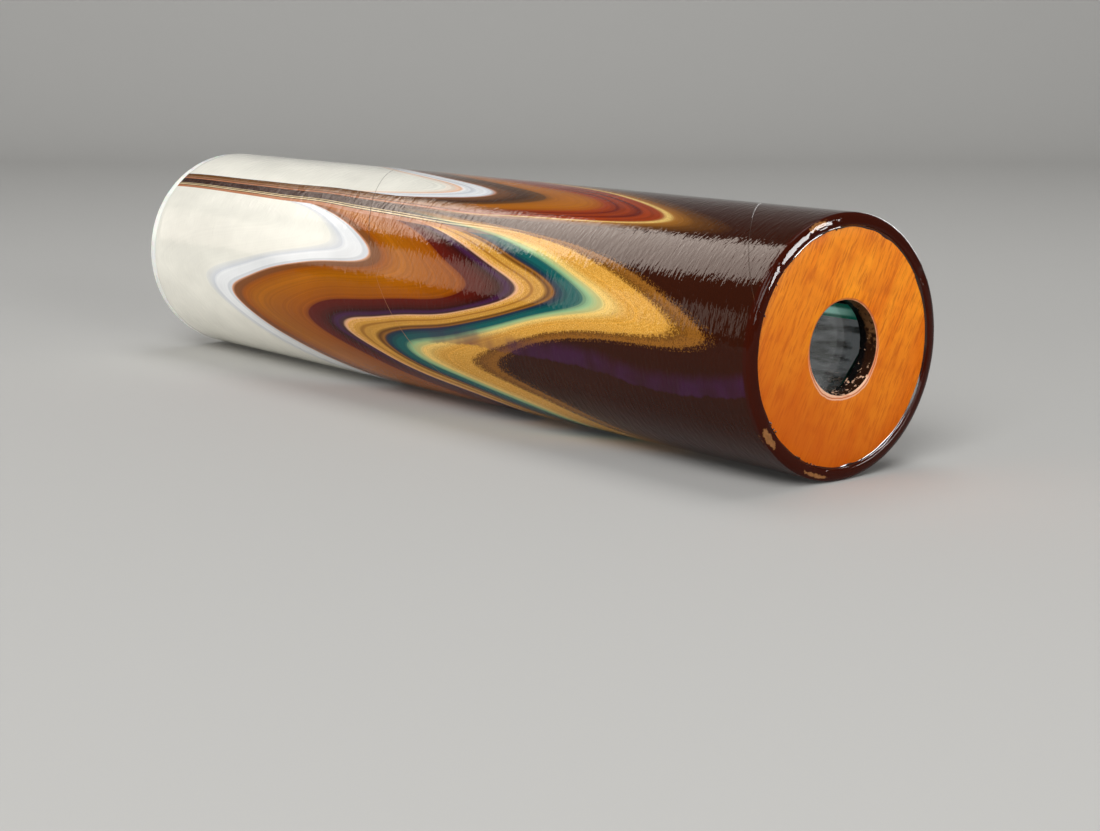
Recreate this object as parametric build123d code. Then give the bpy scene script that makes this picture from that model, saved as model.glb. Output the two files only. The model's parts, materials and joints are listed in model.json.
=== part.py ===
from build123d import *
import os
from math import cos, floor, hypot, radians, sin, sqrt

# A kaleidoscope with an enamelled paperboard barrel. It lies along X, with its eyepiece at +X.
# The origin is on the barrel's axis, halfway along. Sizes are in millimetres.

# Whole scope
overall_length = 250.0

# Barrel: a spiral-wound board tube under poured enamel, which rolls over the mouth as a lip
bore_radius = 25.4
board_wall = 2.6
enamel_thickness = 0.25
lip_outer_round = 1.3
lip_inner_round = 0.9
far_edge_round = 0.25

# Eyepiece: a wood disc glued into the mouth, with a clear window behind it
eyepiece_recess = 0.8
eyepiece_thickness = 4.8
eyepiece_edge_round = 0.3
eye_hole_radius = 10.0
eye_hole_edge_round = 0.4
glue_gap = 0.05
window_thickness = 2.0
window_clearance = 0.2

# Mirror prism: three equal strips, each butting one long edge on its neighbour's mirror face.
# They are cut as wide as the bore allows, in whole steps of mirror_cut_step.
mirror_cut_step = 0.5
mirror_thickness = 3.0
prism_turn = 120

# How the prism lies in the bore: seen from the eyepiece it leans down to the right, and its
# middle is below the axis
prism_lean = 10.5
prism_drop = 2.5

# Card sleeve folded round the prism, and the board collars that hold it in the bore
sleeve_card = 0.6
sleeve_ease = 0.05
collar_length = 10.0
collar_least_wall = 1.2
collar_ease = 0.05
collar_edge_bevel = 0.4

# Object chamber at the far end: a board ring between the inner window and the white end disc
chamber_depth = 12.0
chamber_ring_wall = 2.0
diffuser_thickness = 3.2
diffuser_inset = 0.35
diffuser_edge_round = 0.4

# Loose glass, in three layers one behind another, so that each can turn past the next
layer_count = 3
layer_gap = 0.3
piece_gap = 0.2
chip_thickness = 2.4
bead_radius = 1.7
bead_hole_radius = 0.5
bead_length = 2.6
bead_edge_bevel = 0.6
cane_radius = 1.3
cane_end_bevel = 0.3

# Corner angles of the broken chips, and each chip's colour, size and turn as it lies
chip_corners = {
    "kite": (10, 100, 190, 260),
    "shard": (0, 70, 165, 230),
    "flake": (20, 85, 150, 215, 300),
    "wedge": (0, 125, 215),
}
chips = [
    ("amber", "flake", 5.2, 15),
    ("cobalt", "shard", 4.6, 70),
    ("ruby", "kite", 4.4, -30),
    ("amber", "shard", 4.0, 140),
    ("cobalt", "flake", 4.8, 55),
    ("ruby", "wedge", 3.8, 80),
    ("amber", "kite", 3.4, 25),
    ("cobalt", "wedge", 3.2, -60),
]
bead_colours = ("green", "clear", "gold")
beads_of_each = 4
# Each cane's colour, length and lean from level
canes = [
    ("violet", 11.0, 8),
    ("teal", 9.0, -25),
    ("violet", 8.0, 40),
    ("teal", 10.0, -5),
    ("violet", 7.0, -50),
    ("teal", 6.5, 20),
]

# Places along the axis, from the mouth inwards and from the far end inwards
barrel_radius = bore_radius + board_wall + enamel_thickness
mouth_x = overall_length / 2
eyepiece_front_x = mouth_x - eyepiece_recess
eyepiece_back_x = eyepiece_front_x - eyepiece_thickness
mirror_front_x = eyepiece_back_x - window_thickness
far_x = -overall_length / 2
barrel_far_x = far_x + diffuser_thickness
chamber_front_x = barrel_far_x + chamber_depth
mirror_back_x = chamber_front_x + window_thickness
mirror_length = mirror_front_x - mirror_back_x
window_radius = bore_radius - window_clearance
chamber_radius = bore_radius - glue_gap - chamber_ring_wall

# The prism's triangle. A strip reaches past the corner by its neighbour's thickness, seen slantwise.
strip_overhang = mirror_thickness * sin(radians(prism_turn))
# The strips' outer corners may lie prism_reach from the prism's middle, so that the collars keep
# their least wall. As the strips get wider, each corner moves out on a line that passes the middle.
prism_reach = bore_radius - prism_drop - collar_least_wall - 2 * collar_ease - sleeve_card - sleeve_ease
corner_start = mirror_thickness * cos(radians(60)) + strip_overhang * sin(radians(60))
corner_aside = mirror_thickness * sin(radians(60)) - strip_overhang * cos(radians(60))
widest_side = sqrt(3) * (sqrt(prism_reach**2 - corner_aside**2) - corner_start)
mirror_width = floor((widest_side + strip_overhang) / mirror_cut_step) * mirror_cut_step
triangle_side = mirror_width - strip_overhang
mirror_face_distance = triangle_side / (2 * sqrt(3))
prism_place = Pos(0, -prism_drop) * Rot(0, 0, -prism_lean)

layer_depth = (chamber_depth - layer_gap * (layer_count + 1)) / layer_count


def across(x):
    """The plane square to the axis at x, with Y to its right and Z up."""
    return Plane(origin=(x, 0, 0), x_dir=(0, 1, 0), z_dir=(1, 0, 0))


def rod(radius, length, back_x):
    """A solid cylinder on the axis, from back_x towards the eyepiece."""
    return extrude(across(back_x) * Circle(radius), amount=length)


def ring_edges(solid, radius, x):
    """The circular edges of this radius about the axis at x."""
    circles = solid.edges().filter_by(GeomType.CIRCLE)
    at_x = circles.filter_by_position(Axis.X, x - 0.01, x + 0.01)
    return [edge for edge in at_x if abs(edge.radius - radius) < 0.01]


def make_barrel_tube():
    length = mouth_x - barrel_far_x
    tube = rod(barrel_radius, length, barrel_far_x) - rod(bore_radius, length, barrel_far_x)
    tube = fillet(ring_edges(tube, barrel_radius, mouth_x), lip_outer_round)
    tube = fillet(ring_edges(tube, bore_radius, mouth_x), lip_inner_round)
    return fillet(ring_edges(tube, barrel_radius, barrel_far_x), far_edge_round)


def make_eyepiece_disc():
    disc = rod(bore_radius - glue_gap, eyepiece_thickness, eyepiece_back_x)
    disc -= rod(eye_hole_radius, eyepiece_thickness, eyepiece_back_x)
    disc = fillet(ring_edges(disc, bore_radius - glue_gap, eyepiece_front_x), eyepiece_edge_round)
    return fillet(ring_edges(disc, eye_hole_radius, eyepiece_front_x), eye_hole_edge_round)


def make_window(back_x):
    return rod(window_radius, window_thickness, back_x)


def strip_corners(turn):
    """The two long edges of one strip's outer face, as points of its section."""
    distance = mirror_face_distance + mirror_thickness
    ends = (-triangle_side / 2, triangle_side / 2 + strip_overhang)
    return [Vector(distance, end).rotate(Axis.Z, turn) for end in ends]


def make_mirror_strip(turn):
    middle = Pos(mirror_face_distance + mirror_thickness / 2, strip_overhang / 2)
    section = prism_place * Rot(0, 0, turn) * middle * Rectangle(mirror_thickness, mirror_width)
    return extrude(across(mirror_back_x) * section, amount=mirror_length)


def prism_outline(outset):
    """The outline that card takes when it is folded round the three strips."""
    corners = [corner for turn in mirror_turns.values() for corner in strip_corners(turn)]
    outline = offset(make_face(Polyline(*corners, close=True)), amount=outset, kind=Kind.ARC)
    return prism_place * outline


def make_mirror_sleeve():
    section = prism_outline(sleeve_ease + sleeve_card) - prism_outline(sleeve_ease)
    return extrude(across(mirror_back_x) * section, amount=mirror_length)


def make_collar(back_x):
    collar_radius = bore_radius - collar_ease
    section = Circle(collar_radius) - prism_outline(sleeve_ease + sleeve_card + collar_ease)
    collar = extrude(across(back_x) * section, amount=collar_length)
    ends = (back_x, back_x + collar_length)
    return chamfer([edge for x in ends for edge in ring_edges(collar, collar_radius, x)], collar_edge_bevel)


def make_chamber_ring():
    ring = rod(bore_radius - glue_gap, chamber_depth, barrel_far_x)
    return ring - rod(chamber_radius, chamber_depth, barrel_far_x)


def make_end_diffuser():
    disc_radius = barrel_radius - diffuser_inset
    disc = rod(disc_radius, diffuser_thickness, far_x)
    return fillet(ring_edges(disc, disc_radius, far_x), diffuser_edge_round)


def crossings(first, second):
    """Where two circles cross. Each is the Y and Z of its centre, and its radius."""
    step = (second[0] - first[0], second[1] - first[1])
    apart = hypot(*step)
    if apart == 0 or apart > first[2] + second[2] or apart < abs(first[2] - second[2]):
        return []
    along = (apart**2 + first[2] ** 2 - second[2] ** 2) / (2 * apart)
    aside = sqrt(max(first[2] ** 2 - along**2, 0))
    unit = (step[0] / apart, step[1] / apart)
    foot = (first[0] + along * unit[0], first[1] + along * unit[1])
    return [(foot[0] - side * unit[1], foot[1] + side * unit[0]) for side in (aside, -aside)]


def settle(radii):
    """The Y and Z where round pieces of these radii come to lie, dropped one by one into the ring."""
    placed = []
    for radius in radii:
        reach = chamber_radius - piece_gap - radius
        rests = [(0, 0, reach)] + [(y, z, other + piece_gap + radius) for y, z, other in placed]
        spots = [(0, -reach)]
        for index, rest in enumerate(rests):
            for other_rest in rests[index + 1 :]:
                spots += crossings(rest, other_rest)
        free = [spot for spot in spots if fits(spot, reach, rests[1:])]
        placed.append((*min(free, key=lambda spot: spot[1]), radius))
    return [(y, z) for y, z, _ in placed]


def fits(spot, reach, others):
    rounding = 1e-6
    inside = hypot(*spot) <= reach + rounding
    return inside and all(hypot(spot[0] - y, spot[1] - z) >= far - rounding for y, z, far in others)


def layer_middle(layer):
    """X halfway through a layer of loose glass, counted from the inner window."""
    return chamber_front_x - layer_gap - layer_depth / 2 - layer * (layer_depth + layer_gap)


def in_layer(layer, spot, turn):
    """The frame of a loose piece: on its spot in its layer, turned about the barrel's axis."""
    return Pos(layer_middle(layer), *spot) * Rot(turn, 0, 0)


def make_chip(shape, radius):
    corners = [(radius * cos(radians(angle)), radius * sin(radians(angle))) for angle in chip_corners[shape]]
    chip = make_face(Polyline(*corners, close=True))
    return extrude(across(-chip_thickness / 2) * chip, amount=chip_thickness)


def make_bead():
    bead = rod(bead_radius, bead_length, -bead_length / 2)
    bead = chamfer(bead.edges().filter_by(GeomType.CIRCLE), bead_edge_bevel)
    return bead - rod(bead_hole_radius, bead_length, -bead_length / 2)


def make_cane(length):
    cane = Rot(90, 0, 0) * Cylinder(cane_radius, length)
    return chamfer(cane.edges().filter_by(GeomType.CIRCLE), cane_end_bevel)


def group(pieces):
    """One node for each colour, from (node, solid) pairs."""
    nodes = {}
    for node, solid in pieces:
        nodes.setdefault(node, []).append(solid)
    return {node: Compound(children=solids) for node, solids in nodes.items()}


def make_chips():
    spots = settle([radius for _, _, radius, _ in chips])
    return group(
        (f"chips_{colour}", in_layer(0, spot, turn) * make_chip(shape, radius))
        for (colour, shape, radius, turn), spot in zip(chips, spots)
    )


def make_beads():
    spots = settle([bead_radius] * (beads_of_each * len(bead_colours)))
    return group(
        (f"beads_{bead_colours[index % len(bead_colours)]}", in_layer(1, spot, 0) * make_bead())
        for index, spot in enumerate(spots)
    )


def make_canes():
    spots = settle([hypot(length / 2, cane_radius) for _, length, _ in canes])
    return group(
        (f"canes_{colour}", in_layer(2, spot, lean) * make_cane(length))
        for (colour, length, lean), spot in zip(canes, spots)
    )


mirror_turns = {"mirror_top": 90, "mirror_left": 90 + prism_turn, "mirror_right": 90 + 2 * prism_turn}
collar_backs = {
    "collar_front": mirror_front_x - collar_length,
    "collar_middle": (mirror_front_x + mirror_back_x - collar_length) / 2,
    "collar_rear": mirror_back_x,
}

parts = {
    "barrel_tube": make_barrel_tube(),
    "eyepiece_disc": make_eyepiece_disc(),
    "eyepiece_window": make_window(mirror_front_x),
    "mirror_sleeve": make_mirror_sleeve(),
    "chamber_window": make_window(chamber_front_x),
    "chamber_ring": make_chamber_ring(),
    "end_diffuser": make_end_diffuser(),
}
for name, turn in mirror_turns.items():
    parts[name] = make_mirror_strip(turn)
for name, back_x in collar_backs.items():
    parts[name] = make_collar(back_x)
parts.update(make_chips())
parts.update(make_beads())
parts.update(make_canes())

os.makedirs("parts", exist_ok=True)
for name, shape in parts.items():
    export_step(shape, f"parts/{name}.step")
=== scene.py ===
import json
import math
import random

import bpy
from mathutils import Matrix, Vector, noise


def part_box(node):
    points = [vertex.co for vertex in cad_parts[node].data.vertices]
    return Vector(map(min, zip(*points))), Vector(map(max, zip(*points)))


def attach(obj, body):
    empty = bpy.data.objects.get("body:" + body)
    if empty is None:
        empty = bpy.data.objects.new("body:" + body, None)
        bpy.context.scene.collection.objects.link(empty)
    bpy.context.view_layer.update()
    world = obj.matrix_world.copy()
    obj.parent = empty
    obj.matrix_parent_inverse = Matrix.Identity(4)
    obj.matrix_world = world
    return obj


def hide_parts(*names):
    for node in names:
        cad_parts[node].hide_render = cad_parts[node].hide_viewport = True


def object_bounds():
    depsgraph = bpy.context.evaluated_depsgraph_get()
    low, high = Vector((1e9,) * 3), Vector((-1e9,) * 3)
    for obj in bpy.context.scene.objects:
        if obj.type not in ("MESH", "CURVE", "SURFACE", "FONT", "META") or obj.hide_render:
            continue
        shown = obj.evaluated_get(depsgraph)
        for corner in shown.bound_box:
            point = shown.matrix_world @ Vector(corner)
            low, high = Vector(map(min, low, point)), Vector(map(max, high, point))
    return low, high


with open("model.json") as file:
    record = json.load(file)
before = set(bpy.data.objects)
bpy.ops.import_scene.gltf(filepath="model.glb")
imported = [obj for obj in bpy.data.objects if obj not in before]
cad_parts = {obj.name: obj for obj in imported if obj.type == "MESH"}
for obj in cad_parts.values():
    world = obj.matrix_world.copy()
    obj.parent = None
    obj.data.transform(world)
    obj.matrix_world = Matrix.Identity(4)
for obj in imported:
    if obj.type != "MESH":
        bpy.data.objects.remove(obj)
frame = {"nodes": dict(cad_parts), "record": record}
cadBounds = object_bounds()
print("frame loaded:", len(frame["nodes"]), "nodes")

# Places that several pieces share, in metres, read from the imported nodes
scopeBody = "scope"
tubeLow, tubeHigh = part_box("barrel_tube")
woodLow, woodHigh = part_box("eyepiece_disc")
barrelRadius = tubeHigh.z
farEnd, mouth = tubeLow.x, tubeHigh.x
woodRadius, woodFace = woodHigh.z, woodHigh.x
# the collars are this much smaller than the bore they stand in
collarEase = 0.00005
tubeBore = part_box("collar_middle")[1].z + collarEase
eyeHole = next(mount for mount in frame["record"]["mounts"] if mount["name"] == "eye_hole")
holeRadius = eyeHole["dims"]["r_mm"] / 1000


# ---- node helpers

def feed(tree, socket, value):
    # a value is another node's output, or a plain number, vector or colour
    if isinstance(value, bpy.types.NodeSocket):
        tree.links.new(value, socket)
    else:
        socket.default_value = value


def addNode(tree, kind, values=None, **settings):
    made = tree.nodes.new(kind)
    for name, setting in settings.items():
        setattr(made, name, setting)
    for key, value in (values or {}).items():
        feed(tree, made.inputs[key], value)
    return made


def calc(tree, operation, *values):
    return addNode(tree, "ShaderNodeMath", dict(enumerate(values)), operation=operation).outputs[0]


def remap(tree, value, low, high, newLow=0.0, newHigh=1.0, smooth=False):
    kind = "SMOOTHSTEP" if smooth else "LINEAR"
    values = {0: value, 1: low, 2: high, 3: newLow, 4: newHigh}
    return addNode(tree, "ShaderNodeMapRange", values, interpolation_type=kind).outputs[0]


def mixColour(tree, share, first, second, blend="MIX"):
    values = {0: share, 6: first, 7: second}
    return addNode(tree, "ShaderNodeMix", values, data_type="RGBA", blend_type=blend).outputs[2]


def noiseOf(tree, where, scale, detail=2.0, roughness=0.5, distortion=0.0):
    values = {"Vector": where, "Scale": scale, "Detail": detail, "Roughness": roughness}
    values["Distortion"] = distortion
    return addNode(tree, "ShaderNodeTexNoise", values).outputs[0]


def cellsOf(tree, where, scale):
    # how far a point is from the nearest of many scattered specks
    values = {"Vector": where, "Scale": scale}
    return addNode(tree, "ShaderNodeTexVoronoi", values).outputs["Distance"]


def noiseAlong(tree, value, scale, detail=2.0, roughness=0.5):
    values = {"W": value, "Scale": scale, "Detail": detail, "Roughness": roughness}
    return addNode(tree, "ShaderNodeTexNoise", values, noise_dimensions="1D").outputs[0]


def stretched(tree, where, scales):
    return addNode(tree, "ShaderNodeVectorMath", {0: where, 1: scales}, operation="MULTIPLY").outputs[0]


def centred(tree, value):
    # noise of 0 to 1, moved to lie evenly about 0
    return calc(tree, "SUBTRACT", value, 0.5)


def lengthOf(tree, first, second):
    squares = calc(tree, "MULTIPLY_ADD", first, first, calc(tree, "MULTIPLY", second, second))
    return calc(tree, "SQRT", squares)


def partsOf(tree, where):
    return addNode(tree, "ShaderNodeSeparateXYZ", {0: where}).outputs


def rampOf(tree, value, stops):
    made = addNode(tree, "ShaderNodeValToRGB", {0: value})
    elements = made.color_ramp.elements
    elements[0].position, elements[1].position = stops[0][0], stops[-1][0]
    for place, _ in stops[1:-1]:
        elements.new(place)
    for element, (_, colour) in zip(elements, stops):
        element.color = (*colour, 1)
    return made.outputs[0]


def bumpOf(tree, height, distance, strength=1.0, normal=None):
    values = {"Height": height, "Distance": distance, "Strength": strength}
    if normal is not None:
        values["Normal"] = normal
    return addNode(tree, "ShaderNodeBump", values).outputs[0]


def ownPlace(tree):
    return addNode(tree, "ShaderNodeTexCoord").outputs["Object"]


def newMaterial(name):
    made = bpy.data.materials.new(name)
    made.use_nodes = True
    tree = made.node_tree
    return made, tree, tree.nodes["Principled BSDF"]


def shade(tree, shader, **values):
    for name, value in values.items():
        feed(tree, shader.inputs[name.replace("_", " ")], value)


def newGroup(name, inputs, outputs):
    group = bpy.data.node_groups.new(name, "ShaderNodeTree")
    for socketName, kind, start in inputs:
        socket = group.interface.new_socket(socketName, in_out="INPUT", socket_type=kind)
        if start is not None:
            socket.default_value = start
    for socketName, kind in outputs:
        group.interface.new_socket(socketName, in_out="OUTPUT", socket_type=kind)
    return group, group.nodes.new("NodeGroupInput").outputs, group.nodes.new("NodeGroupOutput").inputs


def placeGroup(tree, group, values):
    made = addNode(tree, "ShaderNodeGroup", None, node_tree=group)
    for name, value in values.items():
        feed(tree, made.inputs[name], value)
    return made.outputs


def linear(red, green, blue):
    # a display colour of 0 to 255, as the shader's linear colour
    shares = [part / 255 for part in (red, green, blue)]
    return tuple(s / 12.92 if s <= 0.04045 else ((s + 0.055) / 1.055) ** 2.4 for s in shares)


# ---- shared effects

def makeBarrelPlace():
    # the angle round the barrel, 0 at its front and rising to its top, and the share of the way
    # from the far end to the mouth
    inputs = [("Place", "NodeSocketVector", None)]
    outputs = [("Angle", "NodeSocketFloat"), ("Run", "NodeSocketFloat")]
    group, given, out = newGroup("barrelPlace", inputs, outputs)
    parts = partsOf(group, given["Place"])
    front = calc(group, "MULTIPLY", parts[1], -1.0)
    feed(group, out["Angle"], calc(group, "ARCTAN2", parts[2], front))
    feed(group, out["Run"], remap(group, parts[0], farEnd, mouth))
    return group


def makeTongue():
    # how far one tongue of paint is dragged along the barrel at each angle round it
    inputs = [("Angle", "NodeSocketFloat", 0.0), ("Centre", "NodeSocketFloat", 0.0),
              ("Sharpness", "NodeSocketFloat", 8.0), ("Round", "NodeSocketFloat", 0.05),
              ("Reach", "NodeSocketFloat", 0.1)]
    group, given, out = newGroup("tongue", inputs, [("Drag", "NodeSocketFloat")])
    aside = calc(group, "SUBTRACT", given["Angle"], given["Centre"])
    half = calc(group, "SINE", calc(group, "MULTIPLY", aside, 0.5))
    soft = calc(group, "MULTIPLY", given["Round"], given["Round"])
    away = calc(group, "SQRT", calc(group, "MULTIPLY_ADD", half, half, soft))
    away = calc(group, "SUBTRACT", away, given["Round"])
    steepness = calc(group, "MULTIPLY", given["Sharpness"], -1.0)
    fall = calc(group, "EXPONENT", calc(group, "MULTIPLY", away, steepness))
    feed(group, out["Drag"], calc(group, "MULTIPLY", fall, given["Reach"]))
    return group


def makeCoatRipple():
    # the height of a brushed clear coat: ripples that run round the barrel, soft sags, and dust under it
    inputs = [("Place", "NodeSocketVector", None), ("Ripple", "NodeSocketFloat", 1.0),
              ("Sag", "NodeSocketFloat", 1.5), ("Dust", "NodeSocketFloat", 0.25)]
    group, given, out = newGroup("coatRipple", inputs, [("Height", "NodeSocketFloat")])
    ripple = noiseOf(group, stretched(group, given["Place"], (1150, 390, 390)), 1.0, 2.0, 0.45, 0.3)
    sag = noiseOf(group, stretched(group, given["Place"], (60, 90, 90)), 1.0, 1.0)
    cells = cellsOf(group, given["Place"], 260.0)
    nibs = remap(group, cells, 0.0, 0.12, 1.0, 0.0, True)
    rare = remap(group, noiseOf(group, given["Place"], 70, 1.0), 0.62, 0.66, 0.0, 1.0)
    height = calc(group, "MULTIPLY", ripple, given["Ripple"])
    height = calc(group, "MULTIPLY_ADD", sag, given["Sag"], height)
    nibs = calc(group, "MULTIPLY", calc(group, "MULTIPLY", nibs, rare), given["Dust"])
    feed(group, out["Height"], calc(group, "ADD", height, nibs))
    return group


def makeFibre():
    # pressed card and board: short fibres and a mottle
    inputs = [("Place", "NodeSocketVector", None), ("Scale", "NodeSocketFloat", 900.0)]
    outputs = [("Mottle", "NodeSocketFloat"), ("Height", "NodeSocketFloat")]
    group, given, out = newGroup("fibre", inputs, outputs)
    fine = noiseOf(group, given["Place"], given["Scale"], 4.0, 0.65, 1.2)
    broad = noiseOf(group, given["Place"], 90.0, 2.0)
    half = calc(group, "MULTIPLY", fine, 0.5)
    feed(group, out["Mottle"], calc(group, "MULTIPLY_ADD", broad, 0.5, half))
    feed(group, out["Height"], fine)
    return group


def makeGlassSwirl():
    # streaks of stronger and weaker colour in cast glass
    inputs = [("Place", "NodeSocketVector", None), ("Pale", "NodeSocketColor", None),
              ("Deep", "NodeSocketColor", None)]
    group, given, out = newGroup("glassSwirl", inputs, [("Colour", "NodeSocketColor")])
    streak = remap(group, noiseOf(group, given["Place"], 240.0, 2.0, 0.5, 1.6), 0.35, 0.65)
    feed(group, out["Colour"], mixColour(group, streak, given["Pale"], given["Deep"]))
    return group


barrelPlace = makeBarrelPlace()
tongue = makeTongue()
coatRipple = makeCoatRipple()
fibre = makeFibre()
glassSwirl = makeGlassSwirl()
print("shared effects built")


# ---- marbled enamel

cream = linear(234, 231, 219)
coolWhite = linear(233, 234, 234)
greyBlue = linear(206, 209, 214)
peach = linear(228, 172, 134)
tan = linear(146, 100, 64)
clay = linear(178, 116, 80)
umber = linear(62, 36, 22)
walnut = linear(108, 68, 40)
amber = linear(166, 94, 2)
honey = linear(150, 76, 2)
rust = linear(142, 50, 9)
maroon = linear(94, 22, 9)
oxblood = linear(54, 13, 9)
violet = linear(66, 30, 66)
gold = linear(216, 156, 60)
ochre = linear(152, 98, 34)
olive = linear(98, 58, 16)
navy = linear(18, 36, 58)
teal = linear(20, 88, 86)
mint = linear(146, 182, 132)
butter = linear(234, 200, 116)
hairline = linear(228, 204, 156)
chocolate = linear(50, 18, 6)
darkBrown = linear(54, 14, 4)

marbling = {
    # the pour seen from the front: where each colour starts, as a share of the way to the mouth
    "frontBands": [
        (0.000, cream), (0.226, cream), (0.246, greyBlue), (0.252, coolWhite), (0.276, coolWhite),
        (0.286, greyBlue), (0.291, peach), (0.295, clay), (0.299, walnut), (0.314, honey), (0.350, amber),
        (0.448, honey), (0.460, maroon), (0.504, oxblood), (0.516, violet), (0.526, umber), (0.532, peach),
        (0.542, gold), (0.556, ochre), (0.564, gold), (0.582, olive), (0.590, ochre), (0.600, navy),
        (0.614, teal), (0.632, teal), (0.648, mint), (0.664, butter), (0.690, gold), (0.736, gold),
        (0.754, olive), (0.772, ochre), (0.792, chocolate),
    ],
    # the pour over the top and the back
    "topBands": [
        (0.000, cream), (0.300, cream), (0.316, peach), (0.322, coolWhite), (0.340, greyBlue),
        (0.346, coolWhite), (0.358, greyBlue), (0.366, clay), (0.374, walnut), (0.414, umber), (0.440, olive),
        (0.456, amber), (0.500, amber), (0.520, honey), (0.540, rust), (0.556, maroon), (0.566, rust),
        (0.592, maroon), (0.602, rust), (0.628, rust), (0.638, butter), (0.650, ochre), (0.680, olive),
        (0.730, chocolate),
    ],
    # the long narrow streak between them, from its lower edge to its upper
    "streakBands": [
        (0.00, clay), (0.13, clay), (0.16, umber), (0.18, umber), (0.19, hairline), (0.222, hairline),
        (0.232, umber), (0.268, umber), (0.278, hairline), (0.306, hairline), (0.316, chocolate),
        (0.56, chocolate), (0.61, umber), (0.64, clay), (0.67, clay), (0.70, umber), (0.76, tan),
        (0.84, olive), (0.95, olive), (1.00, chocolate),
    ],
    # tongues: centre in degrees round from the front, sharpness, roundness, and reach towards the mouth
    "frontTongues": [
        (34, 9.0, 0.02, 0.17), (-6, 7.0, 0.05, -0.16), (-58, 6.0, 0.03, 0.12), (-106, 7.0, 0.03, -0.12),
        (-158, 6.0, 0.03, 0.13),
    ],
    "topTongues": [(76, 8.0, 0.02, 0.20), (118, 8.0, 0.03, -0.13), (158, 7.0, 0.04, 0.14)],
    # how far the tongues lean down towards the mouth, the share by which they grow, and how much rounder
    # they get
    "lean": 0.42, "thin": 0.75, "thick": 1.2, "rounding": 0.18,
    # slow swirls bend the pour round the barrel, in radians, and drift and strands along it, in shares
    "swirl": 0.7, "drift": 0.06, "strandDrift": 0.022,
    # the darkest and lightest strands, and the raggedness of the gold's last edge
    "strandDark": 0.84, "strandLight": 1.10, "ragged": 0.07,
    # the streaks edge the upper pour: its middle and half span in degrees, how far that wavers in radians,
    # and a streak's half width at each end in degrees
    "upperMiddle": 124.0, "upperSpan": 76.0, "waver": 0.25, "streakThin": 5.5, "streakThick": 10.0,
    # a streak's grain, and where it starts to fade and is gone
    "streakGrain": 0.12, "fadeFrom": 0.42, "fadeTo": 0.72,
    # beside a streak both pours are dragged back to the far end: how far, and over what width in radians
    "sideReach": 0.32, "sideWidth": 0.085,
    # broad unevenness of the paint
    "unevenDark": 0.86, "unevenLight": 1.06,
}


def tonguesOf(tree, angle, run, tongues):
    total = 0.0
    for centre, sharpness, softness, reach in tongues:
        values = {"Angle": angle, "Centre": math.radians(centre), "Sharpness": sharpness, "Reach": reach}
        values["Round"] = calc(tree, "MULTIPLY_ADD", run, marbling["rounding"], softness)
        total = calc(tree, "ADD", placeGroup(tree, tongue, values)["Drag"], total)
    return total


def pourOf(tree, angle, run, aside, tongues, seed):
    # where a point lies in one pour: the tongues drag it along, and slow swirls keep any two from matching
    place = ownPlace(tree)
    shifted = addNode(tree, "ShaderNodeVectorMath", {0: place, 1: (seed, 0, 0)}, operation="ADD").outputs[0]
    swirl = centred(tree, noiseOf(tree, stretched(tree, shifted, (11, 24, 24)), 1.0, 0.0))
    drift = centred(tree, noiseOf(tree, stretched(tree, shifted, (20, 34, 34)), 1.0, 1.0))
    swirled = calc(tree, "MULTIPLY_ADD", swirl, marbling["swirl"], angle)
    bent = calc(tree, "MULTIPLY_ADD", run, marbling["lean"], swirled)
    grown = remap(tree, run, 0.0, 0.7, marbling["thin"], marbling["thick"])
    drag = calc(tree, "MULTIPLY", tonguesOf(tree, bent, run, tongues), grown)
    moved = calc(tree, "SUBTRACT", calc(tree, "MULTIPLY_ADD", drift, marbling["drift"], run), drag)
    back = calc(tree, "EXPONENT", calc(tree, "DIVIDE", aside, -marbling["sideWidth"]))
    moved = calc(tree, "MULTIPLY_ADD", back, marbling["sideReach"], moved)
    # fine strands, each a little out of its turn
    strands = centred(tree, noiseAlong(tree, moved, 46.0, 3.0, 0.7))
    return calc(tree, "MULTIPLY_ADD", strands, marbling["strandDrift"], moved)


def strandedPaint(tree, pour, bands):
    # the gold's last edge is ragged with flake
    grain = centred(tree, noiseOf(tree, ownPlace(tree), 2400.0, 2.0, 0.7))
    ragged = calc(tree, "MULTIPLY", grain, remap(tree, pour, 0.70, 0.76, 0.0, marbling["ragged"]))
    pour = calc(tree, "ADD", pour, ragged)
    # strands of the paint are a little lighter or darker than the rest, and less so in the white
    strands = noiseAlong(tree, pour, 120.0, 3.0, 0.6)
    strandShade = remap(tree, strands, 0.3, 0.7, marbling["strandDark"], marbling["strandLight"])
    share = remap(tree, pour, 0.22, 0.34, 0.12, 1.0)
    return mixColour(tree, share, rampOf(tree, pour, bands), strandShade, "MULTIPLY")


def slowWaver(tree, place):
    return centred(tree, noiseOf(tree, stretched(tree, place, (14, 14, 14)), 1.0, 1.0))


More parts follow.
